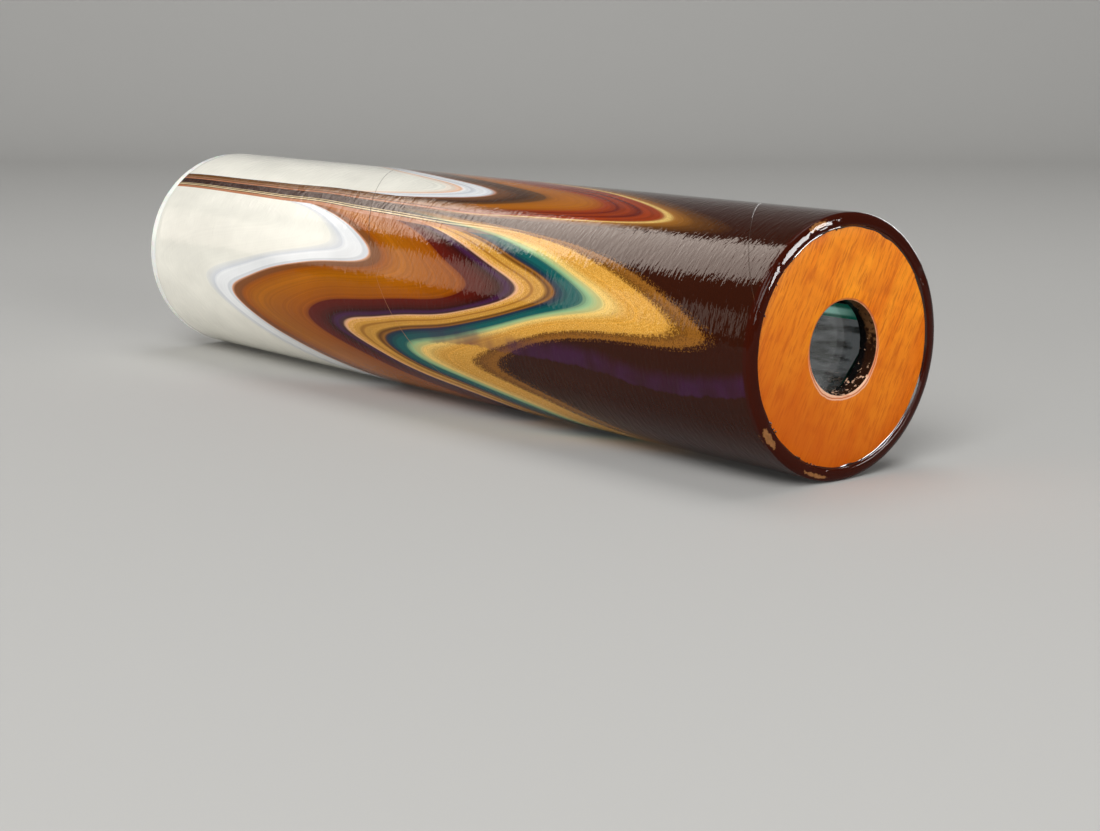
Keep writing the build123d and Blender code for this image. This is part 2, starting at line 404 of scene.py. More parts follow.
def pouredPaint(tree, place, angle, run):
    # how far a point is inside the upper pour, in radians
    turned = calc(tree, "SUBTRACT", angle, math.radians(marbling["upperMiddle"]))
    aside = calc(tree, "ABSOLUTE", calc(tree, "WRAP", turned, math.pi, -math.pi))
    upperSpan = math.radians(marbling["upperSpan"])
    halfSpan = calc(tree, "MULTIPLY_ADD", slowWaver(tree, place), marbling["waver"], upperSpan)
    inside = calc(tree, "SUBTRACT", halfSpan, aside)
    beside = calc(tree, "ABSOLUTE", inside)
    front = pourOf(tree, angle, run, beside, marbling["frontTongues"], 0.0)
    top = pourOf(tree, angle, run, beside, marbling["topTongues"], 3.0)
    frontColour = strandedPaint(tree, front, marbling["frontBands"])
    topColour = strandedPaint(tree, top, marbling["topBands"])
    colour = mixColour(tree, calc(tree, "GREATER_THAN", inside, 0.0), frontColour, topColour)
    # the streak lies along the edge between them
    thin, thick = math.radians(marbling["streakThin"]), math.radians(marbling["streakThick"])
    across = calc(tree, "DIVIDE", inside, remap(tree, run, 0.0, 1.0, thin, thick))
    grainy = centred(tree, noiseAlong(tree, across, 9.0, 1.0, 0.5))
    shifted = calc(tree, "MULTIPLY_ADD", grainy, marbling["streakGrain"], across)
    streakColour = rampOf(tree, remap(tree, shifted, -1.0, 1.0), marbling["streakBands"])
    inStreak = remap(tree, calc(tree, "ABSOLUTE", across), 0.96, 1.0, 1.0, 0.0)
    fade = remap(tree, run, marbling["fadeFrom"], marbling["fadeTo"], 1.0, 0.0, True)
    return mixColour(tree, calc(tree, "MULTIPLY", inStreak, fade), colour, streakColour)


# a smear of violet low on the front, torn along its edge and patchy; angles in radians, down from the front
smear = {
    "below": 0.24, "waver": 0.4, "torn": 0.07, "lowerEdge": (-0.05, -0.03), "upperEdge": (0.04, 0.17),
    "strength": 0.75, "from": 0.45, "full": 0.62, "thinnest": 0.3, "thickest": 0.85,
}


def withSmear(tree, place, angle, run, colour):
    torn = centred(tree, noiseOf(tree, stretched(tree, place, (420, 160, 160)), 1.0, 3.0, 0.6))
    height = calc(tree, "ADD", angle, smear["below"])
    height = calc(tree, "MULTIPLY_ADD", slowWaver(tree, place), smear["waver"], height)
    height = calc(tree, "MULTIPLY_ADD", torn, smear["torn"], height)
    share = remap(tree, height, *smear["lowerEdge"])
    upper = remap(tree, height, *smear["upperEdge"], smear["strength"], 0.0, True)
    share = calc(tree, "MULTIPLY", share, upper)
    share = calc(tree, "MULTIPLY", share, remap(tree, run, smear["from"], smear["full"], 0.0, 1.0, True))
    patches = noiseOf(tree, place, 75.0, 2.0)
    patches = remap(tree, patches, 0.36, 0.52, smear["thinnest"], smear["thickest"])
    return mixColour(tree, calc(tree, "MULTIPLY", share, patches), colour, (*violet, 1))


# metal flake in the gold, partly the paint's own grain and partly painted glints and painted shadows, and
# specks of dust caught under the coat, both in grains for each metre
flake = {"fine": 3800.0, "glint": 0.42, "shadow": 0.45, "glintColour": linear(255, 222, 140)}
dust = {"fine": 130.0, "speck": (0.022, 0.03), "strength": 0.8}


def withFlake(tree, place, colour):
    # gold is where the paint is red and hardly blue
    channels = addNode(tree, "ShaderNodeSeparateColor", {0: colour}).outputs
    red, notBlue = remap(tree, channels[0], 0.40, 0.62), remap(tree, channels[2], 0.22, 0.12)
    golden = calc(tree, "MULTIPLY", red, notBlue)
    # the flake's speckle is painted into the colour: lighter grains as painted glints, darker grains as
    # painted shade, over the paint's own grain
    grain = noiseOf(tree, place, flake["fine"], 2.0, 0.7)
    glint = calc(tree, "MULTIPLY", golden, remap(tree, grain, 0.54, 0.68, 0.0, flake["glint"]))
    shadow = calc(tree, "MULTIPLY", golden, remap(tree, grain, 0.46, 0.34, 0.0, flake["shadow"]))
    colour = mixColour(tree, glint, colour, (*flake["glintColour"], 1))
    return mixColour(tree, shadow, colour, (*olive, 1))


def withDust(tree, place, colour):
    rare = remap(tree, noiseOf(tree, place, 55.0, 1.0), 0.60, 0.62)
    specks = remap(tree, cellsOf(tree, place, dust["fine"]), *dust["speck"], dust["strength"], 0.0)
    return mixColour(tree, calc(tree, "MULTIPLY", specks, rare), colour, (*umber, 1))


# the seam of the board's spiral ply: its place at the front, metres along for each radian round, and half
# its width; a dark hairline that turns into a pale crack low on the front
seam = {"at": -0.004, "slope": 0.0218, "half": 0.00015, "pale": linear(214, 138, 84)}


def seamMask(tree, along, angle):
    pitch = seam["slope"] * 2 * math.pi
    unrolled = calc(tree, "MULTIPLY_ADD", angle, seam["slope"], calc(tree, "SUBTRACT", along, seam["at"]))
    # ten and a half turns on, so that the count of turns is never negative and the seam is in mid turn
    turn = calc(tree, "FRACT", calc(tree, "ADD", calc(tree, "DIVIDE", unrolled, pitch), 10.5))
    off = calc(tree, "MULTIPLY", calc(tree, "ABSOLUTE", centred(tree, turn)), pitch)
    return remap(tree, off, seam["half"] * 0.5, seam["half"], 1.0, 0.0)


def withSeam(tree, place, angle, onSeam, colour):
    faint = remap(tree, noiseOf(tree, place, 40.0, 1.0), 0.4, 0.6, 0.3, 0.95)
    seamColour = mixColour(tree, remap(tree, angle, 0.2, 0.5), (*seam["pale"], 1), (*umber, 1))
    return mixColour(tree, calc(tree, "MULTIPLY", onSeam, faint), colour, seamColour)


# the lip is the last of the pour, and the board shows where it is worn; distances back from the mouth
lipPaint = {
    "from": 0.0022, "full": 0.0016, "ragged": 1.6, "wornEdge": (1.55, 1.75),
    # worn spots: degrees round from the front, radius, half length and half width
    "worn": [(71, 0.0274, 0.0030, 0.0007), (-37, 0.0273, 0.0030, 0.0009), (-72, 0.0272, 0.0036, 0.0005)],
    "boardDeep": linear(96, 58, 30), "boardPale": linear(176, 122, 74),
}


def withLip(tree, place, angle, colour):
    parts = partsOf(tree, place)
    onLip = remap(tree, parts[0], mouth - lipPaint["from"], mouth - lipPaint["full"])
    colour = mixColour(tree, onLip, colour, (*darkBrown, 1))
    ragged = calc(tree, "MULTIPLY", noiseOf(tree, place, 1100.0, 3.0, 0.65), lipPaint["ragged"])
    radius = lengthOf(tree, parts[1], parts[2])
    worn = 0.0
    for centre, at, halfLength, halfWidth in lipPaint["worn"]:
        turned = calc(tree, "SUBTRACT", angle, math.radians(centre))
        beside = calc(tree, "MULTIPLY", turned, at / halfLength)
        over = calc(tree, "DIVIDE", calc(tree, "SUBTRACT", radius, at), halfWidth)
        away = calc(tree, "ADD", lengthOf(tree, beside, over), ragged)
        worn = calc(tree, "MAXIMUM", worn, remap(tree, away, *lipPaint["wornEdge"], 1.0, 0.0))
    fibres = noiseOf(tree, stretched(tree, place, (2500, 500, 500)), 1.0, 2.0)
    board = mixColour(tree, fibres, (*lipPaint["boardDeep"], 1), (*lipPaint["boardPale"], 1))
    return mixColour(tree, calc(tree, "MULTIPLY", worn, onLip), colour, board)


def makeMarbledEnamel():
    made, tree, shader = newMaterial("marbledEnamel")
    place = ownPlace(tree)
    spot = placeGroup(tree, barrelPlace, {"Place": place})
    angle, run = spot["Angle"], spot["Run"]
    onSeam = seamMask(tree, partsOf(tree, place)[0], angle)
    colour = pouredPaint(tree, place, angle, run)
    colour = withSmear(tree, place, angle, run, colour)
    uneven = noiseOf(tree, stretched(tree, place, (30, 60, 60)), 1.0, 3.0, 0.6)
    uneven = remap(tree, uneven, 0.3, 0.7, marbling["unevenDark"], marbling["unevenLight"])
    colour = mixColour(tree, 1.0, colour, uneven, "MULTIPLY")
    colour = withFlake(tree, place, colour)
    colour = withDust(tree, place, colour)
    colour = withSeam(tree, place, angle, onSeam, colour)
    colour = withLip(tree, place, angle, colour)
    ripple = placeGroup(tree, coatRipple, {"Place": place})["Height"]
    groove = calc(tree, "MULTIPLY", onSeam, -1.0)
    normal = bumpOf(tree, groove, 0.0001, 1.0, bumpOf(tree, ripple, 0.0001))
    shade(tree, shader, Base_Color=colour, Roughness=0.45, Specular_IOR_Level=0.0, Normal=normal)
    shade(tree, shader, Coat_Weight=1.0, Coat_Roughness=0.035, Coat_IOR=1.19, Coat_Normal=normal)
    return made


marbledEnamel = makeMarbledEnamel()
print("marbled enamel mixed")


# ---- mesh helpers

def addPiece(name, points, faces, material, body=scopeBody, smooth=True):
    mesh = bpy.data.meshes.new(name)
    mesh.from_pydata([tuple(p) for p in points], [], [tuple(f) for f in faces])
    mesh.materials.append(material)
    mesh.polygons.foreach_set("use_smooth", [smooth] * len(mesh.polygons))
    mesh.update()
    piece = bpy.data.objects.new(name, mesh)
    bpy.context.scene.collection.objects.link(piece)
    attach(piece, body)
    return piece


def lathe(profile, steps, form=None):
    # turns a closed profile of (x, radius) about X; form(x, radius, angle) may move each point
    points, faces = [], []
    count = len(profile)
    for step in range(steps):
        angle = 2 * math.pi * step / steps
        for x, radius in profile:
            px, pr = form(x, radius, angle) if form else (x, radius)
            points.append((px, -pr * math.cos(angle), pr * math.sin(angle)))
    for step in range(steps):
        here, ahead = step * count, (step + 1) % steps * count
        for index in range(count):
            following = (index + 1) % count
            faces.append((here + index, here + following, ahead + following, ahead + index))
    return points, faces


def arc(centre, radius, start, end, steps):
    # points of (x, radius) on a round, with the angles in degrees from +X towards outwards
    angles = [math.radians(start + (end - start) * k / steps) for k in range(steps + 1)]
    return [(centre[0] + radius * math.cos(a), centre[1] + radius * math.sin(a)) for a in angles]


def span(start, end, steps):
    # points evenly along a straight line
    return [tuple(a + (b - a) * k / steps for a, b in zip(start, end)) for k in range(steps + 1)]


# ---- barrel

barrel = {
    "lipHeight": 0.00115, "crestFromBore": 0.0005, "farRound": 0.00025,
    # how finely it is cut
    "around": 320, "along": 110, "lipSteps": 30,
    # how uneven the coat and the lip are
    "wave": 0.00004, "lipWave": 0.00015,
    # nicks in the lip: degrees round from the front, half width in metres, depth
    "nicks": [(71, 0.0028, 0.0003), (43, 0.0004, 0.0004), (-37, 0.0028, 0.0004), (-72, 0.0034, 0.0002),
              (150, 0.0018, 0.0004)],
}


def lipNick(angle, radius):
    # how deep the chips and nicks cut into the lip here
    depth = 0.0
    for centre, half, full in barrel["nicks"]:
        away = (angle - math.radians(centre) + math.pi) % (2 * math.pi) - math.pi
        share = max(0.0, 1 - abs(away * radius) / half)
        rough = 0.75 + 0.5 * noise.noise(Vector((angle * 60, radius * 3000, 1.0)))
        depth += full * share ** 0.5 * rough
    return depth


def makeBarrel():
    lip, far = barrel["lipHeight"], barrel["farRound"]
    profile = arc((farEnd + far, barrelRadius - far), far, 180, 90, 3)
    profile += span(profile[-1], (mouth - lip, barrelRadius), barrel["along"])[1:]
    # the lip falls away outwards from a crest near the wood
    crest = tubeBore + barrel["crestFromBore"]
    for k in range(1, barrel["lipSteps"] + 1):
        turn = math.radians(90 - 180 * k / barrel["lipSteps"])
        reach = barrelRadius - crest if turn > 0 else crest - tubeBore
        profile.append((mouth - lip + lip * math.cos(turn), crest + reach * math.sin(turn)))
    profile += span(profile[-1], (farEnd, tubeBore), 6)[1:]

    def form(x, radius, angle):
        if radius < tubeBore + 1e-6:
            return x, radius
        at = Vector((x * 45, math.cos(angle) * 1.8, math.sin(angle) * 1.8))
        radius -= barrel["wave"] * (0.5 + 0.5 * noise.noise(at))
        near = max(0.0, (x - mouth + lip) / lip)
        if near > 0:
            rim = Vector((4.0, math.cos(angle) * 4, math.sin(angle) * 4))
            x -= barrel["lipWave"] * near * (0.5 + 0.5 * noise.noise(rim))
            x -= near * lipNick(angle, radius)
        return x, radius

    points, faces = lathe(profile, barrel["around"], form)
    return addPiece("enamelled_barrel", points, faces, marbledEnamel)


enamelledBarrel = makeBarrel()
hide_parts("barrel_tube")
print("barrel built")


# ---- lacquer run into the corner between the lip and the wood, with bubbles caught in it

meniscus = {
    "size": 0.00055, "bedded": 0.0001, "sunk": 0.00005, "around": 256, "steps": 5,
    "bubbles": 26, "bubbleSmall": 0.00009, "bubbleLarge": 0.00022, "bubbleRings": 4, "bubbleSides": 8,
    "deepest": linear(24, 9, 4),
}


def makeDarkLacquer():
    made, tree, shader = newMaterial("darkLacquer")
    thick = noiseOf(tree, ownPlace(tree), 160.0, 2.0)
    colour = mixColour(tree, remap(tree, thick, 0.35, 0.65), (*darkBrown, 1), (*meniscus["deepest"], 1))
    shade(tree, shader, Base_Color=colour, Roughness=0.08)
    return made


def addBall(points, faces, middle, radius):
    # a small ball: rings of points between two poles
    start = len(points)
    rings, sides = meniscus["bubbleRings"], meniscus["bubbleSides"]
    points.append(middle + Vector((radius, 0, 0)))
    for ring in range(1, rings + 1):
        tilt = math.pi * ring / (rings + 1)
        for side in range(sides):
            turn = 2 * math.pi * side / sides
            away = Vector((math.cos(tilt), math.sin(tilt) * math.cos(turn), math.sin(tilt) * math.sin(turn)))
            points.append(middle + radius * away)
    points.append(middle - Vector((radius, 0, 0)))
    last = len(points) - 1
    for side in range(sides):
        following = (side + 1) % sides
        faces.append((start, start + 1 + side, start + 1 + following))
        for ring in range(rings - 1):
            here = start + 1 + ring * sides
            faces.append((here + side, here + sides + side, here + sides + following, here + following))
        here = start + 1 + (rings - 1) * sides
        faces.append((here + side, last, here + following))


def makeMeniscus():
    size, steps = meniscus["size"], meniscus["steps"]
    outer, bed = tubeBore + meniscus["sunk"], woodFace - meniscus["bedded"]
    # the hollow faces the mouth and the axis
    turns = [math.radians(90 * k / steps) for k in range(steps + 1)]
    hollow = [(woodFace + size * (1 - math.sin(t)), outer - size * (1 - math.cos(t))) for t in turns]
    profile = [(bed, outer)] + hollow + [(bed, outer - size)]

    def form(x, radius, angle):
        swell = 0.75 + 0.5 * noise.noise(Vector((7.0, math.cos(angle) * 6, math.sin(angle) * 6)))
        return bed + (x - bed) * swell, outer - (outer - radius) * swell

    points, faces = lathe(profile, meniscus["around"], form)
    points = [Vector(p) for p in points]
    chance = random.Random(6)
    for _ in range(meniscus["bubbles"]):
        near, low, anywhere = chance.uniform(20, 70), chance.uniform(-75, -30), chance.uniform(-180, 180)
        turn = math.radians(chance.choice((near, low, anywhere)))
        radius = chance.uniform(meniscus["bubbleSmall"], meniscus["bubbleLarge"])
        off = outer - size * chance.uniform(0.4, 1.1)
        middle = Vector((woodFace + radius * 0.4, -off * math.cos(turn), off * math.sin(turn)))
        addBall(points, faces, middle, radius)
    piece = addPiece("lacquer_meniscus", points, faces, makeDarkLacquer())


makeMeniscus()
print("lacquer meniscus run")


# ---- eyepiece wood

eyepiece = {
    "holeRound": 0.0004, "edgeRound": 0.0003, "around": 256, "paintLump": 0.00022,
    # the grain leans by this many degrees; its fine lines, broad bands and figure, and the painted shade low
    # on the disc, are in shares
    "grainTilt": -62.0, "fineLines": 0.6, "figure": 0.35, "paintedLowShade": 0.8,
    "pale": linear(252, 154, 28), "mid": linear(232, 120, 6), "deep": linear(184, 76, 1),
    # the pale rim of the hole, a painted highlight on its lacquer that is also the colour of real lacquer
    # flecks in the hole, and painted shade on the wood beside it
    "rim": linear(234, 186, 154), "rimShade": linear(186, 96, 60), "rimShadeShare": 0.7,
    # the black paint in the hole, worn this deep, the wood under it, and how fast the flecks thin out
    "paint": linear(14, 13, 13), "worn": linear(44, 24, 14), "bare": linear(108, 74, 46),
    "wornDepth": 0.0026, "fleckFall": 3.1,
}


def woodGrain(tree, place, fine, turned):
    broad = noiseOf(tree, stretched(tree, turned, (60, 34, 190)), 1.0, 2.0, 0.5, 0.4)
    figure = noiseOf(tree, stretched(tree, turned, (60, 170, 60)), 1.0, 2.0, 0.5, 0.6)
    deep = (*eyepiece["deep"], 1)
    broad = remap(tree, broad, 0.35, 0.65)
    colour = mixColour(tree, broad, (*eyepiece["pale"], 1), (*eyepiece["mid"], 1))
    colour = mixColour(tree, remap(tree, figure, 0.45, 0.75, 0.0, eyepiece["figure"]), colour, deep)
    colour = mixColour(tree, remap(tree, fine, 0.48, 0.66, 0.0, eyepiece["fineLines"]), colour, deep)
    # painted shade: the wood is darkened low and to the front, where less light falls on it
    parts = partsOf(tree, place)
    paintedLowShade = calc(tree, "MULTIPLY_ADD", parts[1], 0.5, parts[2])
    return mixColour(tree, remap(tree, paintedLowShade, 0.016, -0.024, 0.0, eyepiece["paintedLowShade"]), colour, deep)


def withRimHighlight(tree, radius, below, lumps, slow, colour):
    # painted highlight: the lacquer round the hole's edge is painted pale as if catching light, wider below,
    # with painted shade just outside it
    reach = calc(tree, "MULTIPLY", slow, calc(tree, "MULTIPLY_ADD", below, 0.0008, 0.0003))
    edge = calc(tree, "SUBTRACT", radius, calc(tree, "MULTIPLY_ADD", lumps, 0.0003, reach))
    rimShade = remap(tree, edge, holeRadius + 0.00005, holeRadius + 0.0003, eyepiece["rimShadeShare"], 0.0)
    colour = mixColour(tree, rimShade, colour, (*eyepiece["rimShade"], 1))
    broken = remap(tree, slow, 0.42, 0.5, 0.35, 0.95)
    pale = remap(tree, edge, holeRadius - 0.0003, holeRadius - 0.0001, 1.0, 0.0)
    off = calc(tree, "ABSOLUTE", calc(tree, "SUBTRACT", edge, holeRadius + 0.0002))
    second = calc(tree, "MULTIPLY", remap(tree, off, 0.0001, 0.0002, 0.8, 0.0), below)
    pale = calc(tree, "MAXIMUM", calc(tree, "MULTIPLY", pale, broken), second)
    return mixColour(tree, pale, colour, (*eyepiece["rim"], 1))


def holePaint(tree, place, lumps):
    # black paint, worn to the wood near the edge and more so above
    parts = partsOf(tree, place)
    deep = calc(tree, "SUBTRACT", woodFace, parts[0])
    ragged = calc(tree, "MULTIPLY_ADD", centred(tree, lumps), 0.003, deep)
    isWorn = remap(tree, ragged, eyepiece["wornDepth"], eyepiece["wornDepth"] + 0.0006, 1.0, 0.0)
    above = remap(tree, parts[2], -0.002, 0.006, 0.0, 0.25)
    isBare = remap(tree, calc(tree, "ADD", lumps, above), 0.56, 0.70)
    worn = mixColour(tree, isBare, (*eyepiece["worn"], 1), (*eyepiece["bare"], 1))
    return mixColour(tree, isWorn, (*eyepiece["paint"], 1), worn), deep


def makeEyepieceWood():
    made, tree, shader = newMaterial("eyepieceWood")
    place = ownPlace(tree)
    values = {"Vector": place, "Rotation": (math.radians(eyepiece["grainTilt"]), 0, 0)}
    turned = addNode(tree, "ShaderNodeMapping", values).outputs[0]
    fine = noiseOf(tree, stretched(tree, turned, (400, 230, 2200)), 1.0, 3.0, 0.65)
    lumps = noiseOf(tree, place, 800.0, 3.0, 0.6)
    slow = noiseOf(tree, place, 90.0, 2.0)
    parts = partsOf(tree, place)
    radius = lengthOf(tree, parts[1], parts[2])
    below = remap(tree, parts[2], 0.002, -0.009)
    colour = withRimHighlight(tree, radius, below, lumps, slow, woodGrain(tree, place, fine, turned))
    paint, deep = holePaint(tree, place, lumps)
    inHole = calc(tree, "LESS_THAN", radius, holeRadius + 0.00006)
    colour = mixColour(tree, inHole, colour, paint)
    # flecks of lacquer on the paint, thicker below
    flecks = calc(tree, "MULTIPLY_ADD", below, 0.12, lumps)
    flecks = calc(tree, "MULTIPLY_ADD", deep, -eyepiece["fleckFall"], flecks)
    flecks = calc(tree, "MULTIPLY", inHole, remap(tree, flecks, 0.69, 0.72))
    colour = mixColour(tree, flecks, colour, (*eyepiece["rim"], 1))
    roughness = remap(tree, calc(tree, "SUBTRACT", inHole, flecks), 0.0, 1.0, 0.42, 0.25)
    grain = bumpOf(tree, fine, 0.00002)
    normal = bumpOf(tree, calc(tree, "MULTIPLY", lumps, inHole), 0.0005, 1.0, grain)
    shade(tree, shader, Base_Color=colour, Roughness=roughness, Specular_IOR_Level=0.03, Normal=normal)
    return made


def makeEyepiece():
    low, high = woodLow.x, woodFace
    soft, edge = eyepiece["holeRound"], eyepiece["edgeRound"]
    profile = span((low, holeRadius), (high - soft, holeRadius), 14)
    profile += arc((high - soft, holeRadius + soft), soft, -90, 0, 5)[1:]
    profile += span((high, holeRadius + soft), (high, woodRadius - edge), 6)[1:]
    profile += arc((high - edge, woodRadius - edge), edge, 0, 90, 4)[1:]
    profile += [(low, woodRadius)]

    def form(x, radius, angle):
        # the paint in the hole is lumpy
        if radius < holeRadius + 1e-6 and x < high - soft - 1e-6:
            lump = noise.noise(Vector((x * 700, math.cos(angle) * 9, math.sin(angle) * 9)))
            radius -= eyepiece["paintLump"] * max(0.0, lump + 0.15)
        return x, radius

    points, faces = lathe(profile, eyepiece["around"], form)
    faces = [tuple(reversed(f)) for f in faces]
    return addPiece("eyepiece_wood_disc", points, faces, eyepieceWood)


eyepieceWood = makeEyepieceWood()
woodDisc = makeEyepiece()
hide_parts("eyepiece_disc")
print("eyepiece turned")


# ---- plain finishes

def makeCard(name, pale, deep, scale, height):
    made, tree, shader = newMaterial(name)
    look = placeGroup(tree, fibre, {"Place": ownPlace(tree), "Scale": scale})
    colour = mixColour(tree, remap(tree, look["Mottle"], 0.35, 0.65), (*pale, 1), (*deep, 1))
    normal = bumpOf(tree, look["Height"], height)
    shade(tree, shader, Base_Color=colour, Roughness=0.85, Normal=normal)
    return made


def makeColouredGlass(name, pale, deep):
    made, tree, shader = newMaterial(name)
    values = {"Place": ownPlace(tree), "Pale": (*pale, 1), "Deep": (*deep, 1)}
    colour = placeGroup(tree, glassSwirl, values)["Colour"]
    shade(tree, shader, Base_Color=colour, Roughness=0.03, IOR=1.5, Transmission_Weight=1.0)
    return made


acrylic = {"pale": linear(240, 239, 232), "deep": linear(228, 228, 222), "glow": 0.4, "glowDepth": 0.003}


def makeWhiteAcrylic():
    made, tree, shader = newMaterial("whiteAcrylic")
    place = ownPlace(tree)
    cloud = remap(tree, noiseOf(tree, place, 120.0, 2.0), 0.3, 0.7)
    colour = mixColour(tree, cloud, (*acrylic["pale"], 1), (*acrylic["deep"], 1))
    scuffs = noiseOf(tree, stretched(tree, place, (900, 240, 240)), 1.0, 2.0)
    shade(tree, shader, Base_Color=colour, Roughness=remap(tree, scuffs, 0.3, 0.7, 0.22, 0.4))
    shade(tree, shader, Subsurface_Weight=acrylic["glow"], Subsurface_Scale=acrylic["glowDepth"])
    shade(tree, shader, Normal=bumpOf(tree, scuffs, 0.00002))
    return made


clearGlass = makeColouredGlass("clearGlass", (0.97, 0.98, 0.975), (0.94, 0.97, 0.96))
nodeFinishes = {
    "eyepiece_window": clearGlass,
    "chamber_window": clearGlass,
    "beads_clear": clearGlass,
    "mirror_sleeve": makeCard("blackCard", linear(24, 23, 22), linear(14, 14, 14), 900.0, 0.00004),
    "collar_front": makeCard("greyBoard", linear(150, 138, 120), linear(112, 102, 88), 700.0, 0.00008),
    "chamber_ring": makeCard("whiteBoard", linear(232, 228, 216), linear(206, 200, 186), 900.0, 0.00005),
    "end_diffuser": makeWhiteAcrylic(),
    "chips_amber": makeColouredGlass("amberGlass", (0.98, 0.62, 0.10), (0.95, 0.42, 0.02)),
    "chips_ruby": makeColouredGlass("rubyGlass", (0.85, 0.08, 0.07), (0.65, 0.01, 0.03)),
    "chips_cobalt": makeColouredGlass("cobaltGlass", (0.08, 0.20, 0.85), (0.02, 0.06, 0.65)),
    "beads_green": makeColouredGlass("greenGlass", (0.20, 0.75, 0.25), (0.05, 0.55, 0.12)),
    "beads_gold": makeColouredGlass("goldGlass", (0.98, 0.85, 0.35), (0.95, 0.70, 0.12)),
    "canes_violet": makeColouredGlass("violetGlass", (0.62, 0.30, 0.85), (0.40, 0.10, 0.70)),
    "canes_teal": makeColouredGlass("tealGlass", (0.10, 0.70, 0.66), (0.02, 0.48, 0.50)),
}
nodeFinishes["collar_middle"] = nodeFinishes["collar_rear"] = nodeFinishes["collar_front"]


def finishNode(name, material):
    mesh = frame["nodes"][name].data
    mesh.materials.clear()
    mesh.materials.append(material)


for nodeName, material in nodeFinishes.items():
    finishNode(nodeName, material)
print("finishes on", len(nodeFinishes), "nodes")


# ---- mirror strips: silvered on the inner face, sea-green glass at the ends and edges

mirrors = {
    "bevel": 0.00005, "edgePale": linear(58, 120, 104), "edgeDeep": linear(18, 84, 72),
    # painted glow: the light painted as coming out of the top strip's end, and the painted highlight patch in
    # it: how far up the glass, as a share, and where it starts to fade and is faint, in metres to the right
    "endGlowDeep": linear(12, 62, 50), "endGlowHighlight": linear(118, 152, 142), "endGlowStrength": 0.8,
    "highlightHeight": 0.45, "highlightFrom": 0.002, "highlightTo": 0.009,
    # painted reflection, as a glow: the tunnel of reflections' dark streaks and the light between them
    "reflectionGlowDark": linear(22, 24, 23), "reflectionGlowPale": linear(74, 76, 77), "reflectionStreaks": (80, 420, 420),
}


def stripSection(node):
    # the corners of the strip's section, in order round it, and its middle
    corners = []
    for vertex in frame["nodes"][node].data.vertices:
        spot = Vector((0, vertex.co.y, vertex.co.z))
        if all((spot - other).length > 0.0005 for other in corners):
            corners.append(spot)
    middle = sum(corners, Vector()) / 4
    corners.sort(key=lambda c: math.atan2(c.z - middle.z, c.y - middle.y))
    return corners, middle


def makeMirrorCoat():
    made, tree, shader = newMaterial("mirrorCoat")
    place = ownPlace(tree)
    haze = noiseOf(tree, place, 150.0, 3.0)
    colour = mixColour(tree, remap(tree, haze, 0.3, 0.7), (0.90, 0.91, 0.91, 1), (0.86, 0.87, 0.88, 1))
    # painted reflection: seen squarely and directly the strips glow with painted streaks for the tunnel of
    # reflections, and along the scope show only what they mirror
    reflectionStreaks = noiseOf(tree, stretched(tree, place, mirrors["reflectionStreaks"]), 1.0, 3.0, 0.55)
    reflectionStreaks = remap(tree, reflectionStreaks, 0.40, 0.56)
    light = mixColour(tree, reflectionStreaks, (*mirrors["reflectionGlowDark"], 1), (*mirrors["reflectionGlowPale"], 1))
    slant = addNode(tree, "ShaderNodeLayerWeight", {"Blend": 0.5}).outputs["Facing"]
    direct = calc(tree, "LESS_THAN", addNode(tree, "ShaderNodeLightPath").outputs["Glossy Depth"], 0.5)
    square = calc(tree, "MULTIPLY", remap(tree, slant, 0.45, 0.8, 1.0, 0.0, True), direct)
    light = mixColour(tree, square, (0, 0, 0, 1), light)
    shade(tree, shader, Base_Color=colour, Metallic=1.0, Roughness=remap(tree, haze, 0.3, 0.7, 0.02, 0.03))
    shade(tree, shader, Emission_Color=light, Emission_Strength=1.0)
    return made


def makeMirrorEdge(outward, faceHeight, thickness):
    # sea-green glass; only the top strip, which is all above faceHeight, has a painted glow in it, with a
    # painted highlight patch
    made, tree, shader = newMaterial("mirrorGlassEdge")
    place = ownPlace(tree)
    haze = remap(tree, noiseOf(tree, place, 150.0, 3.0), 0.3, 0.7)
    colour = mixColour(tree, haze, (*mirrors["edgePale"], 1), (*mirrors["edgeDeep"], 1))
    height = addNode(tree, "ShaderNodeVectorMath", {0: place, 1: outward}, operation="DOT_PRODUCT")
    above = calc(tree, "SUBTRACT", height.outputs["Value"], faceHeight)
    rise = calc(tree, "DIVIDE", above, thickness)
    # a painted highlight patch in the painted glow, paler to the left
    off = calc(tree, "ABSOLUTE", calc(tree, "SUBTRACT", rise, mirrors["highlightHeight"]))
    pale = remap(tree, partsOf(tree, place)[1], mirrors["highlightFrom"], mirrors["highlightTo"], 1.0, 0.15)
    pale = calc(tree, "MULTIPLY", remap(tree, off, 0.12, 0.34, 1.0, 0.0, True), pale)
    light = mixColour(tree, pale, (*mirrors["endGlowDeep"], 1), (*mirrors["endGlowHighlight"], 1))
    light = mixColour(tree, remap(tree, rise, -0.06, 0.02), (0, 0, 0, 1), light)
    shade(tree, shader, Base_Color=colour, Roughness=0.25)
    shade(tree, shader, Emission_Color=light, Emission_Strength=mirrors["endGlowStrength"])
    return made


def makeMirrorStrip(node, finishes):
    corners, middle = sections[node]
    ends = [vertex.co.x for vertex in frame["nodes"][node].data.vertices]
    points = [(x, c.y, c.z) for x in (min(ends), max(ends)) for c in corners]
    faces = [(3, 2, 1, 0), (4, 5, 6, 7)] + [(k, (k + 1) % 4, (k + 1) % 4 + 4, k + 4) for k in range(4)]
    edge, coat, backPaint = finishes
    piece = addPiece(node + "_strip", points, faces, edge, smooth=False)
    piece.data.materials.append(coat)
    piece.data.materials.append(backPaint)
    inward = (prismMiddle - middle).normalized()
    for face in piece.data.polygons:
        share = face.normal.dot(inward)
        face.material_index = 1 if share > 0.9 else 2 if share < -0.9 else 0
    bevel = piece.modifiers.new("arris", "BEVEL")
    bevel.width, bevel.segments = mirrors["bevel"], 1
    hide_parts(node)


